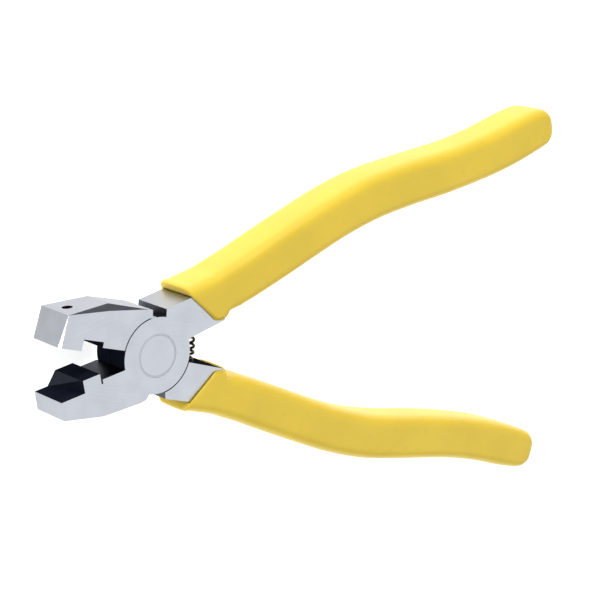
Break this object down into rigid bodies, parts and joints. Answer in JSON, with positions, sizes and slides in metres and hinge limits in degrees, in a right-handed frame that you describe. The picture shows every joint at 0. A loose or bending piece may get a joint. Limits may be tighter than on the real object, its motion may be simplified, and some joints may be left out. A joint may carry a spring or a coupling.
{
  "type": "tile nippers",
  "caption": "Hand tile nippers with a notched upper jaw over a toothed lower jaw, a lap joint, an opening coil spring and moulded handle grips.",
  "frame": {"origin": "middle of the rivet's rear end face, on the pivot axis, flush with the head's rear face", "axes": "+Z along the rivet towards the front face, -X towards the jaws, +X towards the handles, +Y towards the upper handle"},
  "size_m": [0.1859, 0.1194, 0.0156],
  "materials": {
    "ground_steel": "satin ground forged steel, darker on unground faces",
    "rivet_steel": "ground flush with the head",
    "spring_steel": "black oxide wire",
    "yellow_grip": "smooth semi-gloss soft vinyl"
  },
  "bodies": {
    "front_body": {"front_lever": "ground_steel", "pivot_rivet": "rivet_steel", "opening_spring": "spring_steel", "upper_grip": "yellow_grip"},
    "rear_body": {"rear_lever": "ground_steel", "lower_grip": "yellow_grip"}
  },
  "joints": [
    {"name": "jaw_pivot", "type": "hinge", "parent": "front_body", "child": "rear_body", "pos_m": [0, 0, 0], "axis": [0, 0, 1], "range_deg": [0, 26], "stiffness_Nm_per_rad": 0.3, "springref_deg": -5.73, "deforming": ["opening_spring"]}
  ]
}
